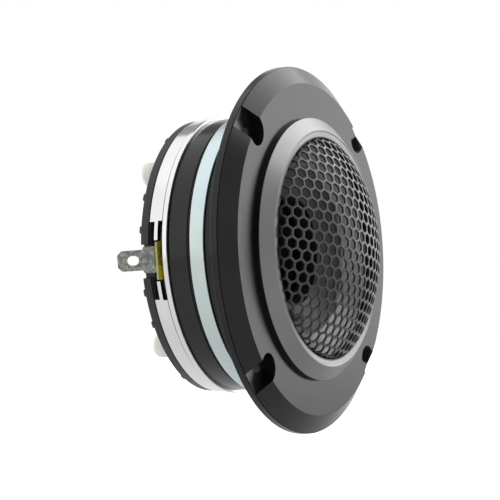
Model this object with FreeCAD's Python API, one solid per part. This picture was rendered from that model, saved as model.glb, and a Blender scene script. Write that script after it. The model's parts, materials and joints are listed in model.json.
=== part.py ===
"""A flanged car super tweeter: a rear-loaded compression driver behind a short horn and a domed grille.

Millimetres, +Z up. The front faces -Y, the origin is the centre of the flange's mounting face, and +Y runs
back through the motor. Round parts are profiles of (radius, y) turned about the Y axis. A bearing is an
angle from the top towards -X, so the two terminals sit near 90 and 270 degrees.
"""

import FreeCAD
import Part
import math
import os

V = FreeCAD.Vector

# Front flange, the die casting that everything hangs on
FLANGE_R = 57.5
RIM_T = 2.5
FACE_R = 52.0
FACE_Y = -6.05
LAND_R = 41.2
LAND_Y = -6.5
BORE_R = 38.6
LEDGE_Y = 0.0
LEDGE_R = 36.0
BOSS_R = 43.2
BOSS_Y = 9.35
WEB_Y = 6.85
THROAT_R = 17.05
GASKET_R = 22.0
GASKET_T = 0.6

# Mounting screws: open pockets in the rim with a through hole each
MOUNT_PCD_R = 50.5
MOUNT_HOLE_R = 2.2
MOUNT_BEARINGS = (45.0, 135.0, 225.0, 315.0)
POCKET_HALF_W = 4.5
POCKET_FLOOR_Y = -2.55

# Bezel and domed grille
BEZEL_R = 41.0
BEZEL_WALL_Y = -8.0
BEZEL_TOP_R = 37.0
BEZEL_TOP_Y = -11.2
BEZEL_EDGE_R = 36.8
BEZEL_EDGE_Y = -11.35
BEZEL_STEP_R = 36.5
BEZEL_STEP_Y = -10.6
BEZEL_LIP_R = 34.6
BEZEL_LIP_Y = -10.45
BEZEL_SKIRT_Y = -2.5
GRILLE_SPHERE_R = 56.2
GRILLE_APEX_Y = -23.5
GRILLE_T = 0.6
GRILLE_DOME_R = 34.4
GRILLE_RIM_R = 36.8
GRILLE_RIM_Y = -9.8
HEX_PITCH = 3.964
HEX_ACROSS = 3.06
HEX_TURN = -9.92
HEX_SHIFT = (0.987, -0.730)
HEX_FIELD_R = 33.9

# Horn insert
HORN_RIM_R = 36.7
HORN_RIM_Y = -8.5
HORN_MOUTH_R = 33.4
HORN_KNEE_R = 26.6
HORN_KNEE_Y = -3.4
HORN_THROAT_Y = 0.9
HORN_SKIRT_Y = -2.4
HORN_WALL = 1.8

# Motor: back plate, pole, magnet and top plate
PLATE_R = 43.9
PLATE_END_Y = 14.3
MAGNET_R = 42.5
MAGNET_HOLE_R = 22.6
MAGNET_END_Y = 22.05
SLEEVE_R = 43.0
TOP_RIM_END_Y = 23.67
TOP_BOSS_R = 41.3
TOP_BOSS_Y = 26.9
GAP_R = 19.9
POLE_FOOT_R = 20.0
POLE_R = 18.3
POLE_TIP_Y = 27.0
PLUG_R = 16.2
PLUG_SEAT_Y = 22.0
COPPER_T = 0.25

# Diaphragm assembly
RING_R = 43.5
RING_END_Y = 28.6
RING_OPENING_R = 31.0
RING_GROOVE_W = 0.26
RING_GROOVE_DEPTH = 0.5
FRAME_IN_R = 24.2
FILM_Y = 27.8
FILM_T = 0.15
COIL_R = 18.85
FORMER_T = 0.15
WINDING_T = 0.45
DOME_RISE = 5.4
DOME_T = 0.12

# Terminals
MOTOR_TURN = 2.3
POCKET_ARC = 16.3
POCKET_END_Y = 25.6
REAR_POCKET_ARC = 16.0
REAR_POCKET_Y = 26.75
BOARD_ARC = 8.4
BOARD_Y = 25.0
BOARD_T = 0.75
BOARD_W = 11.5
BOARD_IN_R = 36.7
BOARD_OUT_R = 44.4
TAB_T = 0.8
TAB_W = 6.3
TAB_ROOT_W = 8.0
TAB_LEAN = 25.0
TAB_BEND_R = 43.6
TAB_FOOT_R = 38.2
TAB_OFFSET = 0.5
RIVET_AT_R = 40.3
RIVET_R = 1.2
RIVET_HEAD_R = 1.9
RIVET_HEAD_H = 0.6
RIVET_TAIL_R = 1.65
RIVET_TAIL_H = 0.5
TERMINAL_POCKET_R = 38.4
LEAD_R = 0.4
LEAD_END_R = 26.2
LEAD_GROOVE_Y = 27.1
LEAD_GROOVE_W = 1.6

# Rear cover and its fasteners
COVER_R = 43.1
COVER_END_Y = 31.7
HUB_R = 31.0
HUB_TOP_R = 28.4
HUB_END_Y = 37.0
CAVITY_R = 29.4
CAVITY_END_Y = 35.4
COVER_SCREW_AT_R = 37.6
SCREW_R = 1.5
SCREW_CLEAR_R = 1.7
SCREW_HEAD_R = 2.75
SCREW_HEAD_H = 3.0
HEAD_ROOM = 0.2
CAP_R = 3.75
CAP_END_Y = 37.1
RIB_BEARINGS = (13.2, 27.5, 60.7)

# Screws that hold the flange to the back plate, hidden under the horn insert
HORN_SCREW_AT_R = 27.0
HORN_SCREW_R = 2.0
HORN_SCREW_HEAD_R = 3.5
HORN_SCREW_HEAD_H = 2.2
DRIVE_R = 1.2
DRIVE_DEPTH = 1.2

# Locating pins between the carrier frame and the top plate
PIN_R = 1.0
PIN_AT_R = 28.0
PIN_START_Y = 23.0

# Clearance between nested parts, how far a cutter runs past its part, and a length past any part
FIT = 0.1
PAST = 5.0
FAR = 200.0


def turned(points):
    """A solid of revolution about Y from a closed (radius, y) outline."""
    corners = [V(r, y, 0) for r, y in points]
    face = Part.Face(Part.makePolygon(corners + corners[:1]))
    return face.revolve(V(0, 0, 0), V(0, 1, 0), 360)


def turned_edges(edges):
    """A solid of revolution about Y from edges that already close in the XY plane."""
    face = Part.Face(Part.Wire(Part.__sortEdges__(edges)))
    return face.revolve(V(0, 0, 0), V(0, 1, 0), 360)


def line(a, b):
    """A straight edge between two (radius, y) points."""
    return Part.LineSegment(V(a[0], a[1], 0), V(b[0], b[1], 0)).toShape()


def arc(a, mid, b):
    """An arc through three (radius, y) points."""
    return Part.Arc(V(a[0], a[1], 0), V(mid[0], mid[1], 0), V(b[0], b[1], 0)).toShape()


def ring(inner, outer, y0, y1):
    """A plain ring between two radii and two y planes."""
    return turned([(inner, y0), (outer, y0), (outer, y1), (inner, y1)])


def rod(radius, y0, y1, at_r=0.0, bearing=0.0):
    """A cylinder parallel to Y, placed by radius and bearing."""
    x, z = polar(at_r, bearing)
    return Part.makeCylinder(radius, y1 - y0, V(x, y0, z), V(0, 1, 0))


def polar(radius, bearing):
    """The (x, z) of a radius at a bearing."""
    a = math.radians(bearing)
    return -radius * math.sin(a), radius * math.cos(a)


def swung(shape, bearing):
    """A copy of a shape built on the -X side, swung so that it sits at the bearing."""
    out = shape.copy()
    out.rotate(V(0, 0, 0), V(0, 1, 0), 90.0 - bearing)
    return out


def sector(inner, outer, y0, y1, half_arc):
    """A slice of a ring centred on the -X side, half_arc degrees each way."""
    x, z = -FAR, FAR * math.tan(math.radians(half_arc))
    wedge = Part.Face(Part.makePolygon([V(0, y0, 0), V(x, y0, z), V(x, y0, -z), V(0, y0, 0)]))
    return ring(inner, outer, y0, y1).common(wedge.extrude(V(0, y1 - y0, 0)))


def side_block(r0, r1, y0, y1, width):
    """A box on the -X side between two radii, centred on the XY plane."""
    return Part.makeBox(r1 - r0, y1 - y0, width, V(-r1, y0, -width / 2))


def terminal_bearings():
    return (90.0 + MOTOR_TURN, 270.0 + MOTOR_TURN)


def cover_screw_bearings():
    return [k + MOTOR_TURN for k in (45.0, 135.0, 225.0, 315.0)]


def horn_screw_bearings():
    return (0.0, 90.0, 180.0, 270.0)


def front_flange():
    body = turned(
        [
            (FLANGE_R, 0.0),
            (FLANGE_R, -RIM_T),
            (FACE_R, FACE_Y),
            (LAND_R, LAND_Y),
            (BORE_R, LAND_Y),
            (BORE_R, LEDGE_Y),
            (LEDGE_R, LEDGE_Y),
            (LEDGE_R, WEB_Y),
            (THROAT_R, WEB_Y),
            (THROAT_R, BOSS_Y - GASKET_T),
            (GASKET_R, BOSS_Y - GASKET_T),
            (GASKET_R, BOSS_Y),
            (BOSS_R, BOSS_Y),
            (BOSS_R, 0.0),
        ]
    )
    for bearing in MOUNT_BEARINGS:
        body = body.cut(swung(screw_pocket(), bearing))
    for bearing in horn_screw_bearings():
        body = body.cut(rod(HORN_SCREW_R + 2 * FIT, WEB_Y - PAST, BOSS_Y + PAST, HORN_SCREW_AT_R, bearing))
    return body


def screw_pocket():
    """The cutter of one pocket on the -X side: a round inner end, a mouth open at the rim and a hole."""
    front = FACE_Y - PAST
    inner_end = rod(POCKET_HALF_W, front, POCKET_FLOOR_Y, MOUNT_PCD_R, 90.0)
    mouth = side_block(MOUNT_PCD_R, FLANGE_R + PAST, front, POCKET_FLOOR_Y, 2 * POCKET_HALF_W)
    hole = rod(MOUNT_HOLE_R, front, PAST, MOUNT_PCD_R, 90.0)
    return inner_end.fuse(mouth).fuse(hole)


def grille_bezel():
    return turned(
        [
            (BEZEL_R, LAND_Y),
            (BEZEL_R, BEZEL_WALL_Y),
            (BEZEL_TOP_R, BEZEL_TOP_Y),
            (BEZEL_EDGE_R, BEZEL_EDGE_Y),
            (BEZEL_STEP_R, BEZEL_STEP_Y),
            (BEZEL_LIP_R, BEZEL_LIP_Y),
            (BEZEL_LIP_R, GRILLE_RIM_Y),
            (GRILLE_RIM_R + FIT, GRILLE_RIM_Y),
            (GRILLE_RIM_R + FIT, BEZEL_SKIRT_Y),
            (BORE_R - FIT, BEZEL_SKIRT_Y),
            (BORE_R - FIT, LAND_Y),
        ]
    )


def sphere_y(radius, at_r):
    """Y of the grille's outer or inner sphere at a distance from the axis."""
    return GRILLE_APEX_Y + GRILLE_SPHERE_R - math.sqrt(radius**2 - at_r**2)


def hex_centres():
    """Flat-sheet centres of the holes, as arc lengths from the apex, to half a hole past the field."""
    t = math.radians(HEX_TURN)
    c, s = math.cos(t), math.sin(t)
    row_step = HEX_PITCH * math.sqrt(3) / 2
    reach = GRILLE_SPHERE_R * math.asin((HEX_FIELD_R + 0.3 * HEX_ACROSS) / GRILLE_SPHERE_R)
    found = []
    for row in range(-12, 13):
        for col in range(-14, 15):
            a = HEX_PITCH * (col + 0.5 * (row % 2)) + HEX_SHIFT[0]
            b = row_step * row + HEX_SHIFT[1]
            x, z = a * c - b * s, a * s + b * c
            if math.hypot(x, z) < reach:
                found.append((x, z))
    return found


def hex_cutter(x, z):
    """A hexagonal punch square to the dome at a flat-sheet centre."""
    reach = math.hypot(x, z)
    swing = reach / GRILLE_SPHERE_R
    heading = math.atan2(z, x)
    t = math.radians(HEX_TURN)
    corner_r = HEX_ACROSS / math.sqrt(3)
    corners = []
    for k in range(6):
        a = t + math.radians(60 * k + 30)
        corners.append(V(corner_r * math.cos(a), 0, corner_r * math.sin(a)))
    punch = Part.Face(Part.makePolygon(corners + corners[:1])).extrude(V(0, 4, 0))
    punch.translate(V(0, GRILLE_APEX_Y - 2, 0))
    axis = V(math.sin(heading), 0, -math.cos(heading))
    centre = V(0, GRILLE_APEX_Y + GRILLE_SPHERE_R, 0)
    punch.rotate(centre, axis, -math.degrees(swing))
    if reach > HEX_FIELD_R - HEX_ACROSS:
        punch = punch.common(rod(HEX_FIELD_R, GRILLE_APEX_Y - 5, GRILLE_APEX_Y + 30))
    return punch


def grille_mesh():
    outer, inner = GRILLE_SPHERE_R, GRILLE_SPHERE_R - GRILLE_T
    rim_in = GRILLE_DOME_R - GRILLE_T
    tip_out, tip_in = (0.0, GRILLE_APEX_Y), (0.0, GRILLE_APEX_Y + GRILLE_T)
    edge_out = (GRILLE_DOME_R, sphere_y(outer, GRILLE_DOME_R))
    edge_in = (rim_in, sphere_y(inner, rim_in))
    under_y = GRILLE_RIM_Y + GRILLE_T
    dome = turned_edges(
        [
            arc(tip_out, (18.0, sphere_y(outer, 18.0)), edge_out),
            line(edge_out, (GRILLE_DOME_R, GRILLE_RIM_Y)),
            line((GRILLE_DOME_R, GRILLE_RIM_Y), (GRILLE_RIM_R, GRILLE_RIM_Y)),
            line((GRILLE_RIM_R, GRILLE_RIM_Y), (GRILLE_RIM_R, under_y)),
            line((GRILLE_RIM_R, under_y), (rim_in, under_y)),
            line((rim_in, under_y), edge_in),
            arc(edge_in, (18.0, sphere_y(inner, 18.0)), tip_in),
            line(tip_in, tip_out),
        ]
    )
    punches = [hex_cutter(x, z) for x, z in hex_centres()]
    return dome.cut(Part.makeCompound(punches))


def grille_retainer():
    return ring(GRILLE_DOME_R + 2 * FIT, GRILLE_RIM_R, GRILLE_RIM_Y + GRILLE_T, HORN_RIM_Y - FIT)


def horn_insert():
    wall_in = HORN_RIM_R - HORN_WALL
    throat_out = THROAT_R + 2.15
    return turned(
        [
            (THROAT_R, WEB_Y),
            (THROAT_R, HORN_THROAT_Y),
            (HORN_KNEE_R, HORN_KNEE_Y),
            (HORN_MOUTH_R, HORN_RIM_Y),
            (HORN_RIM_R, HORN_RIM_Y),
            (HORN_RIM_R, HORN_SKIRT_Y),
            (BORE_R - 2 * FIT, HORN_SKIRT_Y),
            (BORE_R - 2 * FIT, LEDGE_Y),
            (wall_in, LEDGE_Y),
            (wall_in, HORN_RIM_Y + HORN_WALL),
            (HORN_MOUTH_R + 0.9, HORN_RIM_Y + 1.6),
            (HORN_KNEE_R + 1.15, HORN_KNEE_Y + 1.4),
            (throat_out, HORN_THROAT_Y + 0.95),
            (throat_out, WEB_Y),
        ]
    )


def horn_screws():
    made = []
    for bearing in horn_screw_bearings():
        head_y = WEB_Y - HORN_SCREW_HEAD_H
        head = rod(HORN_SCREW_HEAD_R, head_y, WEB_Y, HORN_SCREW_AT_R, bearing)
        shank = rod(HORN_SCREW_R, WEB_Y, PLATE_END_Y - 0.6, HORN_SCREW_AT_R, bearing)
        drive = rod(DRIVE_R, head_y - PAST, head_y + DRIVE_DEPTH, HORN_SCREW_AT_R, bearing)
        made.append(head.fuse(shank).cut(drive).removeSplitter())
    return Part.makeCompound(made)


def throat_gasket():
    return ring(THROAT_R + 0.5, GASKET_R, BOSS_Y - GASKET_T, BOSS_Y)


def back_plate():
    edge = 0.3
    body = turned(
        [
            (POLE_FOOT_R, BOSS_Y),
            (PLATE_R - edge, BOSS_Y),
            (PLATE_R, BOSS_Y + edge),
            (PLATE_R, PLATE_END_Y - edge),
            (PLATE_R - edge, PLATE_END_Y),
            (POLE_FOOT_R, PLATE_END_Y),
        ]
    )
    for bearing in horn_screw_bearings():
        body = body.cut(rod(HORN_SCREW_R, BOSS_Y - PAST, PLATE_END_Y + PAST, HORN_SCREW_AT_R, bearing))
    return body


def pole_piece():
    return turned(
        [
            (THROAT_R, BOSS_Y),
            (POLE_FOOT_R, BOSS_Y),
            (POLE_FOOT_R, PLATE_END_Y),
            (POLE_R, PLATE_END_Y),
            (POLE_R, POLE_TIP_Y),
            (PLUG_R, POLE_TIP_Y),
            (PLUG_R, PLUG_SEAT_Y),
            (PLUG_R - 1.7, PLUG_SEAT_Y),
        ]
    )


def copper_cap():
    return ring(POLE_R, POLE_R + COPPER_T, POLE_TIP_Y - 6, POLE_TIP_Y)


def dome_sphere_r():
    """Outer radius of the diaphragm dome from its base radius and rise."""
    return (COIL_R**2 + DOME_RISE**2) / (2 * DOME_RISE)


def dome_y(radius, at_r):
    """Y of a sphere about the dome's centre at a distance from the axis."""
    return FILM_Y + DOME_RISE - dome_sphere_r() + math.sqrt(radius**2 - at_r**2)


def phase_plug():
    crown = dome_sphere_r() - DOME_T - 0.9
    edge = (PLUG_R, dome_y(crown, PLUG_R))
    tip = (0.0, dome_y(crown, 0.0))
    nose = (0.0, 12.8)
    body = turned_edges(
        [
            line(nose, (5.4, 20.0)),
            line((5.4, 20.0), (PLUG_R - 1.7, PLUG_SEAT_Y)),
            line((PLUG_R - 1.7, PLUG_SEAT_Y), (PLUG_R, PLUG_SEAT_Y)),
            line((PLUG_R, PLUG_SEAT_Y), edge),
            arc(edge, (8.0, dome_y(crown, 8.0)), tip),
            line(tip, nose),
        ]
    )
    for inner in (5.5, 11.0):
        slot = ring(inner, inner + 0.9, 10, 40)
        for k in range(3):
            bridge = Part.makeBox(20, 3.5, 2.0, V(0, 22.6, -1))
            bridge.rotate(V(0, 0, 0), V(0, 1, 0), 120 * k + 30)
            slot = slot.cut(bridge)
        body = body.cut(slot)
    return body


def ferrite_magnet():
    edge = 0.6
    return turned(
        [
            (MAGNET_HOLE_R, PLATE_END_Y),
            (MAGNET_R - edge, PLATE_END_Y),
            (MAGNET_R, PLATE_END_Y + edge),
            (MAGNET_R, MAGNET_END_Y - edge),
            (MAGNET_R - edge, MAGNET_END_Y),
            (MAGNET_HOLE_R, MAGNET_END_Y),
        ]
    )


def magnet_sleeve():
    lip = 0.3
    start, band = PLATE_END_Y + 0.7, PLATE_END_Y + 1.3
    return turned(
        [
            (MAGNET_R, start),
            (SLEEVE_R - 0.1, start),
            (SLEEVE_R - 0.1, start + lip),
            (MAGNET_R + 0.15, start + lip),
            (MAGNET_R + 0.15, band),
            (SLEEVE_R, band),
            (SLEEVE_R, MAGNET_END_Y - FIT),
            (MAGNET_R, MAGNET_END_Y - FIT),
        ]
    )


def top_plate():
    body = turned(
        [
            (GAP_R, MAGNET_END_Y),
            (PLATE_R, MAGNET_END_Y),
            (PLATE_R, TOP_RIM_END_Y),
            (TOP_BOSS_R, TOP_RIM_END_Y),
            (TOP_BOSS_R, TOP_BOSS_Y),
            (GAP_R, TOP_BOSS_Y),
        ]
    )
    side = sector(TERMINAL_POCKET_R, TOP_BOSS_R + 1, TOP_RIM_END_Y, TOP_BOSS_Y + 1, POCKET_ARC)
    seat = side_block(BOARD_IN_R, TOP_BOSS_R + 1, BOARD_Y, TOP_BOSS_Y + 1, BOARD_W + 0.2)
    for bearing in terminal_bearings():
        body = body.cut(swung(side.fuse(seat), bearing))
        body = body.cut(rod(PIN_R, PIN_START_Y, TOP_BOSS_Y + PAST, PIN_AT_R, bearing + 90))
    for bearing in cover_screw_bearings():
        body = body.cut(rod(SCREW_R, MAGNET_END_Y + 0.4, TOP_BOSS_Y + PAST, COVER_SCREW_AT_R, bearing))
    return body


def diaphragm_ring():
    body = turned(
        [
            (TOP_BOSS_R + 0.05, TOP_RIM_END_Y),
            (RING_R - RING_GROOVE_DEPTH, TOP_RIM_END_Y),
            (RING_R - RING_GROOVE_DEPTH, TOP_RIM_END_Y + RING_GROOVE_W),
            (RING_R, TOP_RIM_END_Y + RING_GROOVE_W),
            (RING_R, RING_END_Y),
            (RING_OPENING_R, RING_END_Y),
            (RING_OPENING_R, TOP_BOSS_Y),
            (TOP_BOSS_R + 0.05, TOP_BOSS_Y),
        ]
    )
    inner = BOARD_IN_R - FIT
    front = sector(inner, RING_R + 1, TOP_RIM_END_Y - 1, POCKET_END_Y, POCKET_ARC)
    rear = sector(inner, RING_R + 1, REAR_POCKET_Y, RING_END_Y + 1, REAR_POCKET_ARC)
    between = sector(inner, RING_R + 1, BOARD_Y, TOP_BOSS_Y, BOARD_ARC)
    groove = side_block(RING_OPENING_R - 1, inner + 1, LEAD_GROOVE_Y, RING_END_Y + 1, LEAD_GROOVE_W)
    for bearing in terminal_bearings():
        body = body.cut(swung(front.fuse(rear).fuse(between).fuse(groove), bearing))
    for bearing in cover_screw_bearings():
        body = body.cut(rod(SCREW_CLEAR_R, TOP_BOSS_Y - PAST, RING_END_Y + PAST, COVER_SCREW_AT_R, bearing))
    return body


def diaphragm_frame():
    body = ring(FRAME_IN_R, RING_OPENING_R - 0.1, TOP_BOSS_Y, RING_END_Y)
    step = ring(FRAME_IN_R - 1, 26.2, FILM_Y, RING_END_Y + 1)
    body = body.cut(step)
    groove = side_block(FRAME_IN_R, RING_OPENING_R + 1, LEAD_GROOVE_Y, RING_END_Y + 1, LEAD_GROOVE_W)
    for bearing in terminal_bearings():
        body = body.cut(swung(groove, bearing))
        body = body.cut(rod(PIN_R, TOP_BOSS_Y - PAST, RING_END_Y + PAST, PIN_AT_R, bearing + 90))
    return body


def locating_pins():
    pins = [rod(PIN_R, PIN_START_Y, RING_END_Y, PIN_AT_R, bearing + 90) for bearing in terminal_bearings()]
    return Part.makeCompound(pins)


def surround():
    """A half-roll film from the dome's skirt to the carrier frame."""
    flat_in, roll_in, roll_out, flat_out = 19.6, 20.3, 23.8, 25.8
    mid = (roll_in + roll_out) / 2
    rise = 1.1
    top, low = FILM_Y + FILM_T, FILM_Y
    return turned_edges(
        [
            line((flat_in, low), (roll_in, low)),
            arc((roll_in, low), (mid, low + rise), (roll_out, low)),
            line((roll_out, low), (flat_out, low)),
            line((flat_out, low), (flat_out, top)),
            line((flat_out, top), (roll_out - 0.1, top)),
            arc((roll_out - 0.1, top), (mid, top + rise), (roll_in + 0.1, top)),
            line((roll_in + 0.1, top), (flat_in, top)),
            line((flat_in, top), (flat_in, low)),
        ]
    )


def diaphragm_dome():
    outer = dome_sphere_r()
    inner = outer - DOME_T
    skirt_r = 19.55
    foot_out = (COIL_R, FILM_Y + FILM_T)
    foot_in = (COIL_R - 0.1, FILM_Y)
    lift = FILM_T
    tip_out, tip_in = (0.0, dome_y(outer, 0.0) + lift), (0.0, dome_y(inner, 0.0) + lift)
    return turned_edges(
        [
            arc(foot_out, (10.0, dome_y(outer, 10.0) + lift), tip_out),
            line(tip_out, tip_in),
            arc(tip_in, (10.0, dome_y(inner, 10.0) + lift), foot_in),
            line(foot_in, (skirt_r, FILM_Y)),
            line((skirt_r, FILM_Y), (skirt_r, FILM_Y + FILM_T)),
            line((skirt_r, FILM_Y + FILM_T), foot_out),
        ]
    )


def voice_coil_former():
    return ring(COIL_R, COIL_R + FORMER_T, 21.6, FILM_Y)


def voice_coil_winding():
    outer = COIL_R + FORMER_T
    return ring(outer, outer + WINDING_T, 22.7, 26.3)


def terminal_board():
    body = side_block(BOARD_IN_R, BOARD_OUT_R, BOARD_Y, BOARD_Y + BOARD_T, BOARD_W)
    return body.cut(rod(RIVET_R, BOARD_Y - PAST, BOARD_Y + PAST, RIVET_AT_R, 90.0))


def terminal_tab():
    """A 6.3 mm blade that stands back and outwards from a foot riveted on the board."""
    foot_y = BOARD_Y + BOARD_T
    foot = side_block(TAB_FOOT_R, TAB_BEND_R, foot_y, foot_y + TAB_T, TAB_ROOT_W)
    eye = rod(RIVET_R, foot_y - PAST, foot_y + PAST, RIVET_AT_R, 90.0)
    half, root_half = TAB_W / 2, TAB_ROOT_W / 2
    root_end, tip, chamfer, slope = 3.7, 11.85, 1.3, 0.6
    outline = [
        (0.0, -root_half),
        (root_end, -root_half),
        (root_end + slope, -half),
        (tip - chamfer, -half),
        (tip, -half + chamfer),
        (tip, half - chamfer),
        (tip - chamfer, half),
        (root_end + slope, half),
        (root_end, root_half),
        (0.0, root_half),
    ]
    corners = [V(-TAB_BEND_R, foot_y + along, across) for along, across in outline]
    blade = Part.Face(Part.makePolygon(corners + corners[:1])).extrude(V(TAB_T, 0, 0))
    blade = blade.cut(side_slot(TAB_BEND_R, foot_y + 6.72, foot_y + 7.48, 1.43))
    blade.rotate(V(-TAB_BEND_R, foot_y, 0), V(0, 0, 1), TAB_LEAN)
    tab = foot.fuse(blade)
    tab.translate(V(0, 0, TAB_OFFSET))
    return tab.cut(eye).removeSplitter()


def side_slot(at_r, y0, y1, radius):
    """An oblong punch through a blade on the -X side, its long way along Y."""
    start = V(-at_r - 3, y0, 0)
    end = V(-at_r - 3, y1, 0)
    first = Part.makeCylinder(radius, 8, start, V(1, 0, 0))
    second = Part.makeCylinder(radius, 8, end, V(1, 0, 0))
    web = Part.makeBox(8, y1 - y0, 2 * radius, V(-at_r - 3, y0, -radius))
    return first.fuse(second).fuse(web)


def terminal_rivets():
    shaft_end = BOARD_Y + BOARD_T + TAB_T
    made = []
    for bearing in terminal_bearings():
        tail = rod(RIVET_TAIL_R, BOARD_Y - RIVET_TAIL_H, BOARD_Y, RIVET_AT_R, bearing)
        shaft = rod(RIVET_R, BOARD_Y, shaft_end, RIVET_AT_R, bearing)
        head = rod(RIVET_HEAD_R, shaft_end, shaft_end + RIVET_HEAD_H, RIVET_AT_R, bearing)
        made.append(tail.fuse(shaft).fuse(head).removeSplitter())
    return Part.makeCompound(made)


def lead_wires():
    start_r = RIVET_AT_R + LEAD_R
    y = BOARD_Y + BOARD_T + TAB_T + RIVET_HEAD_H + LEAD_R
    made = []
    for bearing in terminal_bearings():
        wire = Part.makeCylinder(LEAD_R, start_r - LEAD_END_R, V(-start_r, y, 0), V(1, 0, 0))
        made.append(swung(wire, bearing))
    return Part.makeCompound(made)


def rear_cover():
    relief = 0.4
    body = turned(
        [
            (COVER_R - 0.7, RING_END_Y),
            (COVER_R - 0.7, RING_END_Y + relief),
            (COVER_R, RING_END_Y + relief),
            (COVER_R, COVER_END_Y - 0.5),
            (COVER_R - 0.5, COVER_END_Y),
            (HUB_R, COVER_END_Y),
            (HUB_TOP_R + 0.6, HUB_END_Y - 0.8),
            (HUB_TOP_R - 0.4, HUB_END_Y),
            (0.0, HUB_END_Y),
            (0.0, CAVITY_END_Y),
            (CAVITY_R - 2.0, CAVITY_END_Y),
            (CAVITY_R, CAVITY_END_Y - 3.0),
            (CAVITY_R, RING_END_Y),
            (32.0, RING_END_Y),
            (32.0, RING_END_Y + 0.5),
            (35.0, RING_END_Y + 0.5),
            (35.0, RING_END_Y),
        ]
    )
    for side in terminal_bearings():
        for bearing in RIB_BEARINGS:
            for sign in (-1, 1):
                body = body.fuse(swung(cover_rib(), side + sign * bearing))
    notch = sector(40.6, COVER_R + 2, RING_END_Y - 1, COVER_END_Y + 2, 7.0)
    for bearing in terminal_bearings():
        body = body.cut(swung(notch, bearing))
    for bearing in cover_screw_bearings():
        body = body.cut(rod(SCREW_CLEAR_R, RING_END_Y - PAST, COVER_END_Y + PAST, COVER_SCREW_AT_R, bearing))
    return body.removeSplitter()


def cover_rib():
    """One low radial rib on the cover's rear face, on the -X side."""
    rise, width = 0.7, 2.4
    rib = side_block(30.0, COVER_R + 1, COVER_END_Y - 0.6, COVER_END_Y + rise, width)
    return rib.common(ring(29.9, COVER_R - 0.15, COVER_END_Y - 1, COVER_END_Y + rise))


def cover_gasket():
    return ring(32.0, 35.0, RING_END_Y, RING_END_Y + 0.5)


def damping_pad():
    return ring(4.0, 24.0, CAVITY_END_Y - 1.2, CAVITY_END_Y)


def cover_screws():
    made = []
    for bearing in cover_screw_bearings():
        head = rod(SCREW_HEAD_R, COVER_END_Y, COVER_END_Y + SCREW_HEAD_H, COVER_SCREW_AT_R, bearing)
        shank = rod(SCREW_R, MAGNET_END_Y + 0.8, COVER_END_Y, COVER_SCREW_AT_R, bearing)
        head_y = COVER_END_Y + SCREW_HEAD_H
        drive = rod(DRIVE_R, head_y - DRIVE_DEPTH, head_y + PAST, COVER_SCREW_AT_R, bearing)
        made.append(head.fuse(shank).cut(drive).removeSplitter())
    return Part.makeCompound(made)


def screw_caps():
    """Round-ended nylon caps pushed over the cover screws' heads."""
    crown = 2.0
    soft = crown * (1 - math.cos(math.radians(45)))
    hollow_r, hollow_y = SCREW_HEAD_R + 0.03, COVER_END_Y + SCREW_HEAD_H + HEAD_ROOM
    made = []
    for bearing in cover_screw_bearings():
        outline = [
            line((0.0, CAP_END_Y), (CAP_R - crown, CAP_END_Y)),
            arc(
                (CAP_R - crown, CAP_END_Y),
                (CAP_R - soft, CAP_END_Y - soft),
                (CAP_R, CAP_END_Y - crown),
            ),
            line((CAP_R, CAP_END_Y - crown), (CAP_R, COVER_END_Y)),
            line((CAP_R, COVER_END_Y), (hollow_r, COVER_END_Y)),
            line((hollow_r, COVER_END_Y), (hollow_r, hollow_y)),
            line((hollow_r, hollow_y), (0.0, hollow_y)),
            line((0.0, hollow_y), (0.0, CAP_END_Y)),
        ]
        cap = turned_edges(outline)
        x, z = polar(COVER_SCREW_AT_R, bearing)
        cap.translate(V(x, 0, z))
        made.append(cap)
    return Part.makeCompound(made)


def nodes():
    """Every sub-part by its node name."""
    left, right = terminal_bearings()
    return {
        "front_flange": front_flange(),
        "grille_bezel": grille_bezel(),
        "grille_mesh": grille_mesh(),
        "grille_retainer": grille_retainer(),
        "horn_insert": horn_insert(),
        "horn_screws": horn_screws(),
        "throat_gasket": throat_gasket(),
        "back_plate": back_plate(),
        "pole_piece": pole_piece(),
        "copper_cap": copper_cap(),
        "phase_plug": phase_plug(),
        "ferrite_magnet": ferrite_magnet(),
        "magnet_sleeve": magnet_sleeve(),
        "top_plate": top_plate(),
        "diaphragm_ring": diaphragm_ring(),
        "diaphragm_frame": diaphragm_frame(),
        "locating_pins": locating_pins(),
        "surround": surround(),
        "diaphragm_dome": diaphragm_dome(),
        "voice_coil_former": voice_coil_former(),
        "voice_coil_winding": voice_coil_winding(),
        "terminal_board_left": swung(terminal_board(), left),
        "terminal_board_right": swung(terminal_board(), right),
        "terminal_tab_left": swung(terminal_tab(), left),
        "terminal_tab_right": swung(terminal_tab(), right),
        "terminal_rivets": terminal_rivets(),
        "lead_wires": lead_wires(),
        "rear_cover": rear_cover(),
        "cover_gasket": cover_gasket(),
        "damping_pad": damping_pad(),
        "cover_screws": cover_screws(),
        "screw_caps": screw_caps(),
    }


os.makedirs("parts", exist_ok=True)
for name, shape in nodes().items():
    shape.exportStep("parts/" + name + ".step")
    print(name, len(shape.Solids), round(shape.Volume, 2), shape.isValid())
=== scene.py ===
"""Looks for the flanged super tweeter: turned metal parts, a hexagonal grille, terminals and studio light.

Outlines are in millimetres as (radius, y, fillet) corners, in the frame of the CAD model: +Z up, the front
faces -Y and +Y runs back through the motor. A bearing is an angle from the top towards -X.
"""

import bmesh
import bpy
import json
import math
from mathutils import Matrix, Vector, geometry


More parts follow.
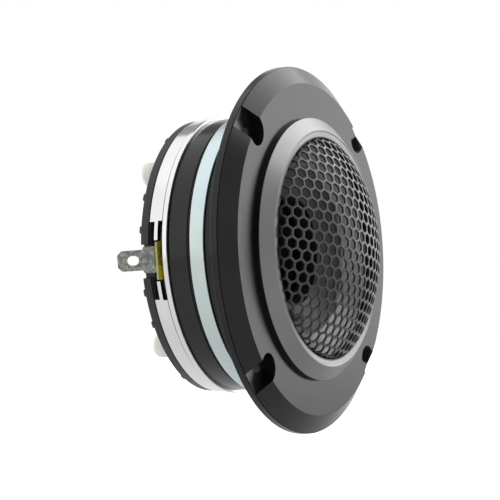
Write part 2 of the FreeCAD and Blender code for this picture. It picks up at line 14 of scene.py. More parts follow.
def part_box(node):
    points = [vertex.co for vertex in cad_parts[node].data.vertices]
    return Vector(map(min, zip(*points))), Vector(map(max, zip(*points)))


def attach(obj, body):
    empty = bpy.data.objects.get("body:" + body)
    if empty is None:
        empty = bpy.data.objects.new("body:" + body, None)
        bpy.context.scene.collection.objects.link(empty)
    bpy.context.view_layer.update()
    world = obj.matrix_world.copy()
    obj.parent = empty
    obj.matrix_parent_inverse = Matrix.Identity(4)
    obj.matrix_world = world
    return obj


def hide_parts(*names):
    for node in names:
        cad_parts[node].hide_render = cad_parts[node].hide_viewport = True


MM = 0.001
SEGMENTS = 256
SMOOTH_BELOW = 32.0

# Places on the flange and the motor that the outlines share
MOUNT_R = 50.5
MOUNT_BEARINGS = (45.0, 135.0, 225.0, 315.0)
POCKET_HALF_W = 4.5
POCKET_FLOOR_Y = -2.55
FACE_R, LAND_R, LAND_Y = 52.0, 41.2, -6.5
SEAT_R, BOSS_R = 38.6, 43.2
TOP_BOSS_R, SLOT_IN_R = 41.3, 36.6
COVER_SCREW_HOLE_R = 1.7
NOTCH_IN_R, NOTCH_ARC, NOTCH_END_Y = 40.6, 7.0, 34.0
# Where the painted shade line behind the ring's front groove ends, in metres.
GROOVE_SHADE_Y = 0.02422
MOUNT_HOLE_R = 2.2
THROAT_R = 17.05
MOTOR_TURN = 2.3
COVER_SCREW_R = 37.6
CAP_R = 3.75
RIB_BEARINGS = (13.2, 27.5, 60.7)

# Grille: a flat hexagonal lattice laid on a dome
DOME_SPHERE_R = 56.2
GRILLE_T = 0.6
BEND_FROM_R = 33.2
BEND_R = 2.8
DOME_EDGE_R = 34.36
HEX_PITCH = 3.964
HEX_ACROSS = 3.06
HEX_TURN = -9.92
HEX_SHIFT = (0.987, -0.730)
HEX_FIELD_REACH = 37.85
HEX_CORNER_R = 0.42

# Terminals
BOARD_W = 11.5
BOARD_IN_R, BOARD_OUT_R = 36.7, 44.4
TAB_BEND_R = 43.6
TAB_T = 0.8
TAB_LEAN = 25.0
TAB_OFFSET = 0.5
RIVET_R = 40.3
POCKET_ARC, REAR_POCKET_ARC = 16.3, 16.0
POCKET_END_Y, REAR_POCKET_Y = 25.6, 26.75

# Camera and floor, in metres
CAMERA_TARGET = Vector((-0.0076, 0.0122, 0.0008))
CAMERA_SIDE = Vector((-0.8908, -0.4536, -0.0252))
CAMERA_DISTANCE = 0.8768
CAMERA_ROLL = -2.83
CAMERA_LENS = 201.6
FLOOR_DROP = 0.045

BODY = "tweeter_body"
RANGE_SOCKETS = ("From Min", "From Max", "To Min", "To Max")


# ---------------------------------------------------------------- geometry helpers


def span(node):
    """Outer radius, front y and back y of a round CAD node, in millimetres."""
    low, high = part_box(node)
    return max(high.x, -low.x) / MM, low.y / MM, high.y / MM


def rounded(outline, steps=4):
    """The points of a closed (radius, y, fillet) outline with its corners rounded off."""
    points = []
    for i, (r, y, fillet) in enumerate(outline):
        corner = Vector((r, y))
        back = Vector(outline[i - 1][:2]) - corner
        ahead = Vector(outline[(i + 1) % len(outline)][:2]) - corner
        if fillet <= 0:
            points.append(corner)
            continue
        half = back.angle(ahead) / 2
        reach = min(fillet / math.tan(half), 0.48 * back.length, 0.48 * ahead.length)
        radius = reach * math.tan(half)
        centre = corner + (back.normalized() + ahead.normalized()).normalized() * (radius / math.sin(half))
        first = corner + back.normalized() * reach - centre
        last = corner + ahead.normalized() * reach - centre
        sweep = first.angle_signed(last)
        for k in range(steps + 1):
            points.append(centre + Matrix.Rotation(-sweep * k / steps, 2) @ first)
    return points


def revolved(outline, segments=SEGMENTS, steps=4):
    """A bmesh in millimetres turned about Y from a closed outline."""
    bm = bmesh.new()
    rings = []
    for r, y in rounded(outline, steps):
        if r < 1e-4:
            rings.append([bm.verts.new((0, y, 0))])
            continue
        turn = [2 * math.pi * k / segments for k in range(segments)]
        rings.append([bm.verts.new((-r * math.sin(a), y, r * math.cos(a))) for a in turn])
    for i, ring in enumerate(rings):
        skin(bm, ring, rings[(i + 1) % len(rings)])
    bmesh.ops.recalc_face_normals(bm, faces=bm.faces)
    return bm


def skin(bm, one, two):
    """Faces between two rings of vertices, either of which may be a single pole."""
    count = max(len(one), len(two))
    if len(one) == len(two) == 1:
        return
    for k in range(count):
        quad = [one[k % len(one)], one[(k + 1) % len(one)], two[(k + 1) % len(two)], two[k % len(two)]]
        corners = [v for i, v in enumerate(quad) if v not in quad[:i]]
        bm.faces.new(corners)


def made(name, bm):
    """An object from a bmesh in millimetres."""
    bmesh.ops.scale(bm, vec=(MM, MM, MM), verts=bm.verts)
    mesh = bpy.data.meshes.new(name)
    bm.to_mesh(mesh)
    bm.free()
    obj = bpy.data.objects.new(name, mesh)
    bpy.context.scene.collection.objects.link(obj)
    return obj


def applied(obj):
    """The object with its modifiers worked into its mesh."""
    graph = bpy.context.evaluated_depsgraph_get()
    mesh = bpy.data.meshes.new_from_object(obj.evaluated_get(graph))
    obj.modifiers.clear()
    obj.data = mesh
    return obj


def carved(obj, tools, how="DIFFERENCE"):
    """The object after a boolean with each tool; the tools are used up."""
    for tool in tools:
        step = obj.modifiers.new("carve", "BOOLEAN")
        step.operation = how
        step.solver = "MANIFOLD"
        step.object = tool
        applied(obj)
        bpy.data.objects.remove(tool)
    return obj


def joined(name, objects):
    """One object from several, which are used up."""
    bm = bmesh.new()
    for obj in objects:
        bm.from_mesh(obj.data)
        bpy.data.objects.remove(obj)
    bmesh.ops.scale(bm, vec=(1 / MM, 1 / MM, 1 / MM), verts=bm.verts)
    return made(name, bm)


def swung(obj, bearing):
    """The object, built on the -X side, swung to a bearing."""
    obj.data.transform(Matrix.Rotation(math.radians(90.0 - bearing), 4, "Y"))
    return obj


def block(name, x0, x1, y0, y1, width, bevel=0.0, segments=3):
    """A box on the -X side between two radii, centred on the XY plane, with rounded edges."""
    bm = bmesh.new()
    bmesh.ops.create_cube(bm, size=1.0)
    bmesh.ops.scale(bm, vec=(x1 - x0, y1 - y0, width), verts=bm.verts)
    bmesh.ops.translate(bm, vec=(-(x0 + x1) / 2, (y0 + y1) / 2, 0), verts=bm.verts)
    if bevel > 0:
        bmesh.ops.bevel(bm, geom=bm.edges[:], offset=bevel, segments=segments, affect="EDGES", profile=0.5)
    return made(name, bm)


def rod(name, radius, y0, y1, at_r=0.0, sides=48):
    """A capped round bar parallel to Y on the -X side."""
    bm = revolved([(0, y0, 0), (radius, y0, 0), (radius, y1, 0), (0, y1, 0)], sides, 1)
    bmesh.ops.translate(bm, vec=(-at_r, 0, 0), verts=bm.verts)
    return made(name, bm)


def wedge(name, inner, outer, y0, y1, half_arc, steps=12):
    """A slice of a ring centred on the -X side."""
    bm = bmesh.new()
    turn = [math.radians(half_arc) * (2 * k / steps - 1) for k in range(steps + 1)]
    plan = [(inner, a) for a in turn] + [(outer, a) for a in reversed(turn)]
    low = [bm.verts.new((-r * math.cos(a), y0, r * math.sin(a))) for r, a in plan]
    high = [bm.verts.new((v.co.x, y1, v.co.z)) for v in low]
    bm.faces.new(low)
    bm.faces.new(high)
    skin(bm, low, high)
    bmesh.ops.recalc_face_normals(bm, faces=bm.faces)
    return made(name, bm)


def terminal_bearings():
    """The left and the right terminal's bearing."""
    return (90.0 + MOTOR_TURN, 270.0 + MOTOR_TURN)


# ---------------------------------------------------------------- material helpers


class Nodes:
    """A new material and short calls for the nodes in it."""

    def __init__(self, name, colour, roughness, metallic=0.0, **sockets):
        self.material = bpy.data.materials.new(name)
        self.material.use_nodes = True
        self.tree = self.material.node_tree
        self.shader = self.tree.nodes["Principled BSDF"]
        self.put("Base Color", (*colour, 1.0))
        self.put("Roughness", roughness)
        self.put("Metallic", metallic)
        for socket, value in sockets.items():
            self.put(socket.replace("_", " "), value)
        self.material.diffuse_color = (*colour, 1.0)

    def put(self, socket, value):
        self.shader.inputs[socket].default_value = value

    def add(self, kind, **values):
        node = self.tree.nodes.new(kind)
        for key, value in values.items():
            setattr(node, key, value)
        return node

    def link(self, source, target):
        self.tree.links.new(source, target)

    def place(self):
        """Object coordinates, which are the frame's own metres."""
        return self.add("ShaderNodeTexCoord").outputs["Object"]

    def parts(self, where):
        node = self.add("ShaderNodeSeparateXYZ")
        self.link(where, node.inputs[0])
        return node

    def axis(self, name):
        """One object coordinate, in metres."""
        return self.parts(self.place()).outputs[name]

    def radius(self):
        """Distance from the Y axis, in metres."""
        return self.parts(self.around()).outputs["X"]

    def around(self):
        """(radius, y, 0) of a point, so that a pattern runs round the axis like turning marks."""
        parts = self.parts(self.place())
        flat = self.add("ShaderNodeCombineXYZ")
        self.link(parts.outputs["X"], flat.inputs["X"])
        self.link(parts.outputs["Z"], flat.inputs["Y"])
        size = self.add("ShaderNodeVectorMath", operation="LENGTH")
        self.link(flat.outputs[0], size.inputs[0])
        both = self.add("ShaderNodeCombineXYZ")
        self.link(size.outputs["Value"], both.inputs["X"])
        self.link(parts.outputs["Y"], both.inputs["Y"])
        return both.outputs[0]

    def noise(self, scale, detail=3.0, where=None, roughness=0.5):
        node = self.add("ShaderNodeTexNoise")
        node.inputs["Scale"].default_value = scale
        node.inputs["Detail"].default_value = detail
        node.inputs["Roughness"].default_value = roughness
        self.link(where if where is not None else self.place(), node.inputs["Vector"])
        return node.outputs["Fac"]

    def ramp(self, value, stops):
        """A colour ramp; stops are (position, colour)."""
        node = self.add("ShaderNodeValToRGB")
        elements = node.color_ramp.elements
        while len(elements) < len(stops):
            elements.new(0.5)
        for element, (position, colour) in zip(elements, stops):
            element.position = position
            element.color = (*colour, 1.0)
        self.link(value, node.inputs["Fac"])
        return node.outputs["Color"]

    def spread(self, value, low, high, start=0.3, end=0.7):
        """A value mapped from start..end to low..high."""
        node = self.add("ShaderNodeMapRange")
        for name, amount in zip(RANGE_SOCKETS, (start, end, low, high)):
            node.inputs[name].default_value = amount
        self.link(value, node.inputs["Value"])
        return node.outputs["Result"]

    def sum(self, one, two, share=1.0):
        node = self.add("ShaderNodeMath", operation="MULTIPLY_ADD")
        node.inputs[1].default_value = share
        self.link(two, node.inputs[0])
        self.link(one, node.inputs[2])
        return node.outputs[0]

    def colour(self, value, stops):
        self.link(self.ramp(value, stops), self.shader.inputs["Base Color"])

    def near(self, centre, reach):
        """1 inside reach of a point, 0 well outside it."""
        node = self.add("ShaderNodeVectorMath", operation="DISTANCE")
        self.link(self.place(), node.inputs[0])
        node.inputs[1].default_value = centre
        return self.spread(node.outputs["Value"], 1.0, 0.0, reach * 0.8, reach * 1.2)

    def mixed(self, share, under, over):
        """The under colour with the over colour laid on it by share."""
        node = self.add("ShaderNodeMix", data_type="RGBA")
        self.link(share, node.inputs[0])
        self.link(under, node.inputs[6])
        node.inputs[7].default_value = (*over, 1.0)
        return node.outputs[2]

    def blend(self, share, under, over):
        """Base colour from one colour output to a second, plain colour."""
        self.link(self.mixed(share, under, over), self.shader.inputs["Base Color"])

    def rough(self, value, low, high):
        self.link(self.spread(value, low, high), self.shader.inputs["Roughness"])

    def bump(self, height, depth, strength=1.0):
        """A bump whose height of 1 stands for depth metres."""
        node = self.add("ShaderNodeBump")
        node.inputs["Strength"].default_value = strength
        node.inputs["Distance"].default_value = depth
        self.link(height, node.inputs["Height"])
        self.link(node.outputs["Normal"], self.shader.inputs["Normal"])


def grey(value, tint=1.0):
    """A neutral colour, its blue scaled by tint."""
    return (value, value, value * tint)


def coated_metal(name, dark, light, rough_low, rough_high, grain, depth, **sockets):
    """A satin coating with fine grain and faint cloudiness."""
    m = Nodes(name, grey((dark + light) / 2), rough_low, **sockets)
    cloud = m.noise(60.0, 4.0)
    m.colour(cloud, [(0.3, grey(dark, 1.02)), (0.7, grey(light, 1.02))])
    m.rough(m.noise(420.0, 3.0), rough_low, rough_high)
    m.bump(m.noise(grain, 2.0), depth)
    return m.material


def bezel_finish():
    """Satin metal on the bezel's sloping face; its upright side and the edge at the mesh are painted shade,
    black and non-metallic.
    """
    m = Nodes("bezel_satin", grey(0.22), 0.34, 0.95)
    # Painted shade: behind y = -7.9 mm and inside a radius of 35 mm the bezel turns black and non-metallic.
    # This stands for the shade at its base and the shadow gap at the mesh.
    shaded_wall = m.spread(m.axis("Y"), 0.0, 1.0, -0.00795, -0.0078)
    face = m.ramp(m.noise(60.0, 4.0), [(0.3, grey(0.27)), (0.7, grey(0.29))])
    lip = m.spread(m.radius(), 1.0, 0.0, 0.03495, 0.03505)
    dark = m.sum(shaded_wall, lip)
    m.blend(dark, face, grey(0.006))
    m.link(m.spread(dark, 0.95, 0.0, 0.0, 1.0), m.shader.inputs["Metallic"])
    m.rough(m.noise(420.0, 3.0), 0.33, 0.37)
    return m.material


def turned_metal(name, stops, rough_low, rough_high, pitch, depth, metallic=1.0, **sockets):
    """Bright metal with fine turning marks round the axis and faint cloudiness."""
    m = Nodes(name, stops[0][1], rough_low, metallic, **sockets)
    marks = m.noise(pitch, 2.0, m.around())
    m.colour(m.noise(45.0, 3.0), stops)
    m.rough(m.sum(m.noise(120.0, 3.0), marks, 0.35), rough_low, rough_high)
    m.bump(marks, depth)
    return m.material


def bright_ring():
    """Machined aluminium with a painted shade line at its front edge, standing in for the shadow of the
    groove there.
    """
    m = Nodes("bright_ring", grey(0.88), 0.12, 1.0)
    # Painted shade: from the ring's front edge back to 24.22 mm the ring turns dark grey and rougher, as the
    # groove's shadow.
    groove_shade = m.spread(m.axis("Y"), 1.0, 0.0, GROOVE_SHADE_Y - 0.00004, GROOVE_SHADE_Y + 0.00004)
    bright = m.ramp(m.noise(45.0, 3.0), [(0.3, (0.84, 0.84, 0.845)), (0.7, (0.90, 0.90, 0.90))])
    m.blend(groove_shade, bright, grey(0.16))
    m.rough(m.sum(m.noise(120.0, 3.0), groove_shade), 0.11, 0.2)
    m.bump(m.noise(14000.0, 2.0, m.around()), 0.0000012)
    return m.material


def rim_plating():
    """Bright nickel on the top plate's rim; the boss behind it is painted shade, black and non-metallic."""
    m = Nodes("silver_rim", grey(0.88), 0.12, 1.0)
    # Painted shade: inside a radius of 42.5 mm the plate turns black and non-metallic. This stands for the
    # shade in the terminal pockets.
    boss = m.spread(m.radius(), 1.0, 0.0, 0.0424, 0.0426)
    nickel = m.ramp(m.noise(45.0, 3.0), [(0.3, grey(0.86)), (0.7, grey(0.91))])
    m.blend(boss, nickel, grey(0.02))
    m.link(m.spread(boss, 1.0, 0.0, 0.0, 1.0), m.shader.inputs["Metallic"])
    m.rough(m.sum(m.noise(120.0, 3.0), boss), 0.10, 0.18)
    m.bump(m.noise(14000.0, 2.0, m.around()), 0.0000012)
    return m.material


def moulded(name, dark, light, rough_low, rough_high, grain, depth, tint=1.0, **sockets):
    """Moulded plastic with a fine eroded texture."""
    m = Nodes(name, grey((dark + light) / 2, tint), rough_low, **sockets)
    m.colour(m.noise(90.0, 3.0), [(0.3, grey(dark, tint)), (0.7, grey(light, tint))])
    m.rough(m.noise(300.0, 2.0), rough_low, rough_high)
    m.bump(m.noise(grain, 3.0), depth)
    return m.material


def grille_coat():
    """Satin black paint on the mesh, with painted shade that makes its bent edge near black and duller."""
    m = Nodes("grille_coat", grey(0.03), 0.26, IOR=1.62)
    # Painted shade: from y = -12.3 mm backwards the dome's bent edge turns near black and rougher.
    edge_shade = m.spread(m.axis("Y"), 0.0, 1.0, -0.0123, -0.0117)
    paint = m.ramp(m.noise(60.0, 4.0), [(0.3, grey(0.026)), (0.7, grey(0.038))])
    m.blend(edge_shade, paint, grey(0.004))
    m.rough(m.sum(m.noise(420.0, 3.0), edge_shade), 0.24, 0.32)
    m.bump(m.noise(4200.0, 2.0), 0.000003)
    return m.material


def horn_finish():
    """A horn that is satin metal in its outer cone and dark inside the knee."""
    m = Nodes("horn_finish", grey(0.12), 0.32)
    outer = m.spread(m.radius(), 0.0, 1.0, 0.0262, 0.0268)
    shades = [(0.0, grey(0.035)), (0.12, grey(0.05)), (1.0, grey(0.30))]
    m.colour(m.sum(outer, m.noise(80.0, 3.0), 0.12), shades)
    m.link(m.spread(outer, 0.1, 0.8, 0.0, 1.0), m.shader.inputs["Metallic"])
    m.rough(m.noise(300.0, 2.0), 0.28, 0.36)
    m.bump(m.noise(2600.0, 3.0), 0.000006)
    return m.material


def zinc_plating():
    """Bright zinc with a pale blue-green passivation film that drifts in colour, and painted light that
    makes it paler towards the top.
    """
    m = Nodes("zinc_plating", (0.72, 0.8, 0.8), 0.3, 1.0)
    drift = m.noise(28.0, 2.0)
    deep = m.ramp(
        drift,
        [
            (0.25, (0.58, 0.71, 0.77)),
            (0.45, (0.66, 0.78, 0.79)),
            (0.6, (0.70, 0.79, 0.74)),
            (0.8, (0.62, 0.72, 0.81)),
        ],
    )
    # Painted light: from the axis up to 42 mm above it the zinc turns paler and bluer, as if lit from above.
    m.blend(m.spread(m.axis("Z"), 0.0, 1.0, 0.0, 0.042), deep, (0.72, 0.84, 0.86))
    marks = m.noise(9000.0, 2.0, m.around())
    m.rough(m.noise(260.0, 3.0), 0.24, 0.36)
    m.bump(marks, 0.000001)
    return m.material


def tinned_tab():
    """Tin plate with crystalline mottling and light scuffs."""
    m = Nodes("tinned_tab", (0.4, 0.43, 0.41), 0.4, 1.0)
    cells = m.add("ShaderNodeTexVoronoi")
    cells.inputs["Scale"].default_value = 1500.0
    m.link(m.place(), cells.inputs["Vector"])
    mottle = m.sum(m.noise(700.0, 4.0, roughness=0.7), cells.outputs["Distance"], 0.25)
    m.colour(
        mottle,
        [
            (0.36, (0.20, 0.235, 0.225)),
            (0.53, (0.36, 0.40, 0.37)),
            (0.68, (0.58, 0.60, 0.54)),
            (0.78, (0.8, 0.8, 0.74)),
        ],
    )
    m.rough(mottle, 0.34, 0.5)
    m.bump(mottle, 0.00003)
    return m.material


def laminate():
    """Yellow board with a cloth weave showing through; the olive over most of its face is painted shade and
    the bright yellow at its lower end is painted light.
    """
    m = Nodes("laminate", (0.5, 0.45, 0.05), 0.4)
    warp = m.add("ShaderNodeTexWave", wave_type="BANDS", bands_direction="X")
    weft = m.add("ShaderNodeTexWave", wave_type="BANDS", bands_direction="Z")
    for wave in (warp, weft):
        wave.inputs["Scale"].default_value = 700.0
        wave.inputs["Distortion"].default_value = 1.5
        m.link(m.place(), wave.inputs["Vector"])
    weave = m.sum(warp.outputs["Fac"], weft.outputs["Fac"])
    mix = m.sum(m.noise(500.0, 3.0), weave, 0.12)
    end_face = m.spread(m.radius(), 0.0, 1.0, 0.0443, 0.04436)
    # Painted light and shade: most of the face is olive, as shaded laminate. More than 3 mm below the axis
    # it turns bright yellow, as lit laminate.
    front = m.ramp(mix, [(0.4, (0.26, 0.22, 0.004)), (0.62, (0.44, 0.39, 0.015)), (0.8, (0.62, 0.57, 0.06))])
    lit_low_end = m.spread(m.axis("Z"), 1.0, 0.0, -0.0034, -0.0030)
    face = m.mixed(lit_low_end, front, (0.95, 0.90, 0.04))
    face = m.mixed(m.near((-0.0410, 0.0250, -0.0014), 0.0011), face, (0.05, 0.04, 0.01))
    face = m.mixed(m.near((-0.0418, 0.0250, -0.0010), 0.0004), face, (0.9, 0.88, 0.7))
    m.blend(end_face, face, (0.62, 0.58, 0.22))
    m.rough(mix, 0.32, 0.5)
    m.bump(weave, 0.000015)
    return m.material


def nylon():
    """Milky natural nylon, with a faint painted glow in its own colour that makes it brighter than its light
    alone gives.
    """
    m = Nodes(
        "nylon",
        (0.9, 0.9, 0.82),
        0.32,
        # Painted light: a faint emission in the nylon's own colour brightens the caps.
        Emission_Color=(0.9, 0.9, 0.82, 1.0),
        Emission_Strength=0.12,
        Subsurface_Weight=0.35,
        Subsurface_Scale=0.003,
        Subsurface_Radius=(1.0, 0.95, 0.8),
    )
    m.colour(m.noise(180.0, 3.0), [(0.3, (0.86, 0.86, 0.75)), (0.7, (0.94, 0.94, 0.88))])
    m.rough(m.noise(900.0, 2.0), 0.26, 0.4)
    m.bump(m.noise(1200.0, 2.0), 0.000003)
    return m.material


def felt():
    """Grey pressed fibre."""
    m = Nodes("felt", grey(0.25), 0.95, Sheen_Weight=0.3)
    fibre = m.noise(2500.0, 6.0, roughness=0.8)
    m.colour(fibre, [(0.3, grey(0.16)), (0.7, grey(0.36))])
    m.rough(fibre, 0.85, 1.0)
    m.bump(fibre, 0.0002)
    return m.material


def film(name, dark, light):
    """Translucent amber film."""
    m = Nodes(name, light, 0.3, Coat_Weight=0.3)
    m.colour(m.noise(300.0, 3.0), [(0.3, dark), (0.7, light)])
    m.rough(m.noise(800.0, 2.0), 0.22, 0.38)
    m.bump(m.noise(1800.0, 2.0), 0.00001)
    return m.material


def wound_wire():
    """Fine enamelled wire, turn beside turn along the axis."""
    m = Nodes("wound_wire", (0.5, 0.2, 0.09), 0.3, 1.0, Coat_Weight=0.5)
    turns = m.add("ShaderNodeTexWave", wave_type="BANDS", bands_direction="Y")
    turns.inputs["Scale"].default_value = 1100.0
    m.link(m.place(), turns.inputs["Vector"])
    m.colour(turns.outputs["Fac"], [(0.0, (0.16, 0.05, 0.02)), (0.6, (0.62, 0.27, 0.12))])
    m.rough(turns.outputs["Fac"], 0.25, 0.5)
    m.bump(turns.outputs["Fac"], 0.00005)
    return m.material


def materials():
    """Every material by its slot name in the record."""
    # The pole steel is coloured near black and non-metallic.
    near_black = [(0.3, grey(0.012)), (0.7, grey(0.022))]
    dark_steel = [(0.3, (0.16, 0.16, 0.17)), (0.7, (0.26, 0.26, 0.27))]
    red_copper = [(0.3, (0.78, 0.36, 0.22)), (0.7, (0.86, 0.46, 0.30))]
    foil = [(0.3, (0.52, 0.52, 0.54)), (0.7, (0.66, 0.66, 0.68))]
    tin = [(0.3, (0.5, 0.51, 0.5)), (0.7, (0.66, 0.66, 0.64))]
    return {
        "satin_black_metal": coated_metal(
            "satin_black", 0.006, 0.009, 0.19, 0.22, 5200.0, 0.0000008, IOR=1.45
        ),
        "bezel_metal": bezel_finish(),
        "grille_paint": grille_coat(),
        "horn_plastic": horn_finish(),
        "zinc_plate": zinc_plating(),
        "silver_steel": rim_plating(),
        "ring_aluminium": bright_ring(),
        "pole_steel": turned_metal("near_black_steel", near_black, 0.4, 0.55, 9000.0, 0.000002, 0.0),
        "copper": turned_metal("copper", red_copper, 0.2, 0.35, 9000.0, 0.000003),
        "ferrite": moulded("ferrite", 0.012, 0.022, 0.6, 0.8, 1500.0, 0.00004),
        "sleeve_plastic": moulded("sleeve_film", 0.010, 0.014, 0.12, 0.2, 900.0, 0.000004, IOR=1.47),
        "plug_plastic": moulded("plug_moulding", 0.02, 0.035, 0.4, 0.55, 2600.0, 0.00001),
        "carrier_plastic": moulded("carrier_moulding", 0.03, 0.05, 0.45, 0.6, 2600.0, 0.00001),
        "surround_film": film("surround_film", (0.42, 0.22, 0.06), (0.6, 0.36, 0.12)),
        "dome_titanium": turned_metal("dome_foil", foil, 0.25, 0.4, 7000.0, 0.000003),
        "former_film": film("former_film", (0.36, 0.18, 0.05), (0.5, 0.28, 0.09)),
        "winding_wire": wound_wire(),
        "board_yellow": laminate(),
        "tab_tin": tinned_tab(),
        "rivet_tin": turned_metal("rivet_tin", tin, 0.3, 0.45, 5000.0, 0.00001),
        "gasket_foam": moulded("gasket_foam", 0.012, 0.03, 0.85, 0.98, 1800.0, 0.00012),
        "pad_felt": felt(),
        "cover_plastic": moulded("cover_moulding", 0.028, 0.038, 0.32, 0.42, 2400.0, 0.000014),
        "screw_steel": turned_metal("screw_steel", dark_steel, 0.3, 0.45, 5000.0, 0.000008),
        "cap_nylon": nylon(),
    }


# ---------------------------------------------------------------- pieces


def flange_piece():
    """The front flange: bevelled rim, flat face, land for the bezel and the boss behind."""
    rim_r, face_y, back_y = span("front_flange")
    outline = [
        (rim_r, 0.0, 0.3),
        (rim_r, -2.28, 0.05),
        (rim_r - 0.3, -2.32, 0.0),
        (rim_r - 0.3, -2.5, 0.0),
        (rim_r - 0.1, -2.54, 0.05),
        (FACE_R, face_y, 0.18),
        (LAND_R, LAND_Y, 0.0),
        (SEAT_R, LAND_Y, 0.12),
        (SEAT_R, 0.0, 0.2),
        (36.0, 0.0, 0.2),
        (36.0, 6.85, 0.4),
        (THROAT_R, 6.85, 0.2),
        (THROAT_R, back_y - 0.6, 0.0),
        (22.0, back_y - 0.6, 0.0),
        (22.0, back_y, 0.1),
        (BOSS_R, back_y, 0.25),
        (BOSS_R, 0.0, 0.6),
    ]
    flange = made("front_flange_cast", revolved(outline))
    tools = []
    for bearing in MOUNT_BEARINGS:
        tools.append(swung(pocket_tool(), bearing))
        tools.append(swung(rod("hole", MOUNT_HOLE_R, -15, 5, MOUNT_R), bearing))
    return carved(flange, tools)


def pocket_tool():
    """The milled U of a screw pocket, round at its inner end and open at the rim."""
    bm = bmesh.new()
    steps = 24
    turn = [math.pi * (k / steps - 0.5) for k in range(steps + 1)]
    plan = [(-MOUNT_R + POCKET_HALF_W * math.cos(a), POCKET_HALF_W * math.sin(a)) for a in turn]
    plan += [(-MOUNT_R - 12, POCKET_HALF_W), (-MOUNT_R - 12, -POCKET_HALF_W)]
    low = [bm.verts.new((x, -14.0, z)) for x, z in plan]
    high = [bm.verts.new((x, POCKET_FLOOR_Y, z)) for x, z in plan]
    bm.faces.new(low)
    bm.faces.new(high)
    skin(bm, low, high)
    bmesh.ops.recalc_face_normals(bm, faces=bm.faces)
    return made("pocket", bm)


def bezel_piece():
    """The raised bezel with its sloping face and the inner cone down to the grille."""
    outer_r, top_y, _ = span("grille_bezel")
    outline = [
        (outer_r, LAND_Y, 0.0),
        (outer_r, -8.0, 0.12),
        (37.0, top_y + 0.12, 0.12),
        (36.8, top_y + 0.08, 0.1),
        (36.5, top_y + 0.25, 0.15),
        (34.6, top_y + 0.4, 0.08),
        (34.6, -9.8, 0.0),
        (36.9, -9.8, 0.0),
        (36.9, -2.5, 0.0),
        (38.5, -2.5, 0.0),
        (38.5, LAND_Y, 0.0),
    ]
    return made("grille_bezel_ring", revolved(outline))


def horn_piece():
    """The horn insert: short throat, shallow inner cone, steeper outer cone."""
    rim_r = 36.7
    _, rim_y, back_y = span("horn_insert")
    outline = [
        (THROAT_R, back_y, 0.0),
        (THROAT_R, 0.9, 0.5),
        (26.6, -3.4, 0.7),
        (33.4, rim_y, 0.3),
        (rim_r, rim_y, 0.1),
        (rim_r, -2.4, 0.0),
        (38.4, -2.4, 0.0),
        (38.4, 0.0, 0.0),
        (rim_r - 1.8, 0.0, 0.0),
        (rim_r - 1.8, rim_y + 1.8, 0.5),
        (34.3, rim_y + 1.6, 0.0),
        (27.75, -2.0, 0.4),
        (THROAT_R + 2.15, 1.85, 0.4),
        (THROAT_R + 2.15, back_y, 0.0),
    ]
    return made("horn_moulding", revolved(outline))


def back_plate_piece():
    """The zinc-plated disc with the horn screws' four holes."""
    outer_r, front_y, back_y = span("back_plate")
    outline = [
        (20.0, front_y, 0.1),
        (outer_r, front_y, 0.35),
        (outer_r, back_y, 0.35),
        (20.0, back_y, 0.1),
    ]
    plate = made("back_plate_zinc", revolved(outline))
    holes = [swung(rod("hole", 2.0, front_y - 1, back_y + 1, 27.0), b) for b in (0.0, 90.0, 180.0, 270.0)]
    return carved(plate, holes)


def magnet_piece():
    """The ferrite ring under the band."""
    outer_r, front_y, back_y = span("ferrite_magnet")
    outline = [
        (22.6, front_y, 0.2),
        (outer_r, front_y, 0.6),
        (outer_r, back_y, 0.6),
        (22.6, back_y, 0.2),
    ]
    return made("ferrite_ring", revolved(outline))


def sleeve_piece():
    """The dark band round the magnet with its groove and thin lip."""
    outer_r, front_y, back_y = span("magnet_sleeve")
    magnet_r = span("ferrite_magnet")[0]
    outline = [
        (magnet_r + 0.02, front_y, 0.0),
        (outer_r - 0.1, front_y, 0.08),
        (outer_r - 0.1, front_y + 0.3, 0.08),
        (magnet_r + 0.15, front_y + 0.3, 0.0),
        (magnet_r + 0.15, front_y + 0.6, 0.0),
        (outer_r, front_y + 0.6, 0.12),
        (outer_r, back_y, 0.12),
        (magnet_r + 0.02, back_y, 0.0),
    ]
    return made("magnet_band", revolved(outline))


def top_plate_piece():
    """The magnet's rear plate: a bright rim and a boss inside the ring, pocketed at the terminals."""
    outer_r, front_y, back_y = span("top_plate")
    rim_end_y = front_y + 1.62
    outline = [
        (19.9, front_y, 0.1),
        (outer_r, front_y, 0.2),
        (outer_r, rim_end_y, 0.15),
        (TOP_BOSS_R, rim_end_y, 0.0),
        (TOP_BOSS_R, back_y, 0.2),
        (19.9, back_y, 0.1),
    ]
    plate = made("top_plate_rim", revolved(outline))
    tools = []
    for bearing in terminal_bearings():
        tools.append(swung(wedge("side", 38.4, 43.0, rim_end_y, back_y + 1, POCKET_ARC), bearing))
        tools.append(swung(block("seat", BOARD_IN_R, 43.0, 25.0, back_y + 1, BOARD_W + 0.2), bearing))
    return carved(plate, tools)


def cover_screw_holes():
    """Cutters for the cover's four screws."""
    bearings = [bearing + MOTOR_TURN for bearing in MOUNT_BEARINGS]
    return [swung(rod("hole", COVER_SCREW_HOLE_R, 20, 40, COVER_SCREW_R), b) for b in bearings]


